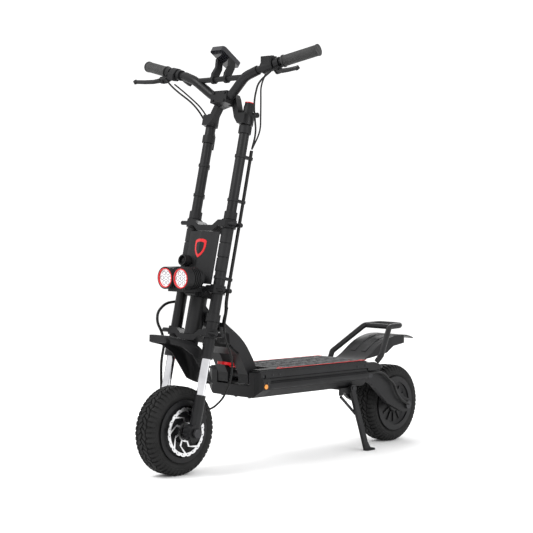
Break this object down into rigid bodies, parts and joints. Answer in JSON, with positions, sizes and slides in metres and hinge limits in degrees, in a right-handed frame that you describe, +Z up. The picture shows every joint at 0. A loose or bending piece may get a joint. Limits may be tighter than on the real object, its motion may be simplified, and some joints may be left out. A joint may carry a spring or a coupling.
{
  "type": "electric kick scooter",
  "caption": "Folding electric kick scooter with twin stems, telescopic fork, wide deck, rear rack, fat tyres and disc brakes.",
  "frame": {"origin": "on the ground, midway between the wheel centres, in the middle plane", "axes": "+X forwards, +Y to the rider's left, +Z up"},
  "size_m": [1.218, 0.7116, 1.2324],
  "materials": {
    "tyre_rubber": "matt black rubber",
    "hub_black": "satin black",
    "rotor_steel": "ground steel",
    "axle_steel": "plain steel",
    "fork_black": "satin black",
    "chrome_tube": "polished",
    "caliper_black": "satin black",
    "frame_black": "fine-textured satin black",
    "mat_black": "textured matt black",
    "plastic_black": "matt black",
    "pad_grey": "dark grey pads",
    "red_paint": "gloss red",
    "screen_glass": "gloss black",
    "lens_clear": "clear",
    "amber_lens": "clear amber",
    "grip_rubber": "ribbed matt black",
    "lever_black": "satin black",
    "button_grey": "matt grey",
    "cable_black": "matt black sheath",
    "spring_steel": "plain steel",
    "battery_blue": "shrink-wrapped",
    "controller_alloy": "plain"
  },
  "bodies": {
    "deck": {"battery_pack": "battery_blue", "controllers": "controller_alloy", "deck_frame": "frame_black", "deck_lid": "frame_black", "deck_mat": "mat_black", "deck_screws": "axle_steel", "kickstand_bracket": "frame_black", "marker_lights": "amber_lens", "nose_block": "frame_black", "pivot_pins": "axle_steel", "rear_fender": "plastic_black", "rear_rack": "frame_black", "tail_block": "frame_black"},
    "neck": {"neck_arms": "frame_black", "head_tube": "frame_black"},
    "latch": {"latch_lever": "red_paint"},
    "fork_lower": {"fork_sliders": "fork_black", "stanchions": "chrome_tube", "front_axle": "axle_steel", "caliper_front": "caliper_black", "fork_cables": "cable_black"},
    "front_wheel": {"tyre_front": "tyre_rubber", "hub_front": "hub_black", "rotor_front": "rotor_steel"},
    "swingarm": {"swingarm": "frame_black", "rear_axle": "axle_steel", "caliper_rear": "caliper_black", "cables_rear": "cable_black"},
    "rear_wheel": {"tyre_rear": "tyre_rubber", "hub_rear": "hub_black", "rotor_rear": "rotor_steel"},
    "kickstand": {"kickstand": "frame_black", "kick_spring": "spring_steel"},
    "lever_left": {"brake_lever_left": "lever_black"},
    "lever_right": {"brake_lever_right": "lever_black"},
    "throttle": {"throttle_paddle": "plastic_black"},
    "lights_button": {"button_lights": "red_paint"},
    "horn_button": {"button_horn": "button_grey"},
    "steering": {"fork_tubes": "fork_black", "stem_tubes": "fork_black", "stem_clamps": "fork_black", "steerer": "axle_steel", "front_mudguard": "plastic_black", "front_cover": "plastic_black", "cover_pads": "pad_grey", "lamp_housings": "plastic_black", "lamp_lenses": "lens_clear", "horn": "plastic_black", "stem_caps": "plastic_black", "handlebar": "fork_black", "bar_bracket": "fork_black", "grips": "grip_rubber", "display_mount": "plastic_black", "display_unit": "screen_glass", "brake_perches": "lever_black", "switch_pod": "plastic_black", "throttle_body": "plastic_black", "bar_cables": "cable_black", "loom_main": "cable_black", "cable_straps": "plastic_black"}
  },
  "joints": [
    {"name": "fold", "type": "hinge", "parent": "deck", "child": "neck", "pos_m": [0.225, 0, 0.27], "axis": [0, 1, 0], "range_deg": [-76, 0]},
    {"name": "latch_lift", "type": "hinge", "parent": "neck", "child": "latch", "pos_m": [0.24, 0, 0.297], "axis": [0, 1, 0], "range_deg": [-18, 0]},
    {"name": "steer", "type": "hinge", "parent": "neck", "child": "steering", "pos_m": [0.5044, 0, 0], "axis": [-0.2181, 0, 0.9759], "range_deg": [-30, 30], "deforming": ["loom_main"]},
    {"name": "fork_slide", "type": "slide", "parent": "steering", "child": "fork_lower", "axis": [-0.2181, 0, 0.9759], "range_m": [0, 0.04], "stiffness_N_per_m": 12000, "springref_m": -0.03, "deforming": ["fork_cables"]},
    {"name": "front_wheel_spin", "type": "hinge", "parent": "fork_lower", "child": "front_wheel", "pos_m": [0.482, 0, 0.127], "axis": [0, 1, 0], "continuous": true},
    {"name": "swing", "type": "hinge", "parent": "deck", "child": "swingarm", "pos_m": [-0.282, 0, 0.241], "axis": [0, 1, 0], "range_deg": [0, 8], "stiffness_Nm_per_rad": 600, "springref_deg": -8.59, "deforming": ["cables_rear"]},
    {"name": "rear_wheel_spin", "type": "hinge", "parent": "swingarm", "child": "rear_wheel", "pos_m": [-0.482, 0, 0.127], "axis": [0, 1, 0], "continuous": true},
    {"name": "kickstand_fold", "type": "hinge", "parent": "deck", "child": "kickstand", "pos_m": [-0.183, 0.1, 0.206], "axis": [0, 1, 0], "range_deg": [-104, 0], "deforming": ["kick_spring"]},
    {"name": "brake_left", "type": "hinge", "parent": "steering", "child": "lever_left", "pos_m": [0.32146, 0.238, 1.14833], "axis": [0.6583, -0.1611, 0.7353], "range_deg": [0, 20], "stiffness_Nm_per_rad": 1.5, "springref_deg": -2.86},
    {"name": "brake_right", "type": "hinge", "parent": "steering", "child": "lever_right", "pos_m": [0.32098, -0.243, 1.14945], "axis": [-0.6583, -0.1611, -0.7353], "range_deg": [0, 20], "stiffness_Nm_per_rad": 1.5, "springref_deg": -2.86},
    {"name": "throttle_press", "type": "hinge", "parent": "steering", "child": "throttle", "pos_m": [0.30956, -0.175, 1.16057], "axis": [-0.0949, -0.9716, 0.2167], "range_deg": [0, 30], "stiffness_Nm_per_rad": 0.4, "springref_deg": -5.73},
    {"name": "lights_press", "type": "slide", "parent": "steering", "child": "lights_button", "axis": [0, 0, -1], "range_m": [0, 0.0015], "stiffness_N_per_m": 500, "springref_m": -0.001},
    {"name": "horn_press", "type": "slide", "parent": "steering", "child": "horn_button", "axis": [0, 0, -1], "range_m": [0, 0.0015], "stiffness_N_per_m": 500, "springref_m": -0.001}
  ]
}
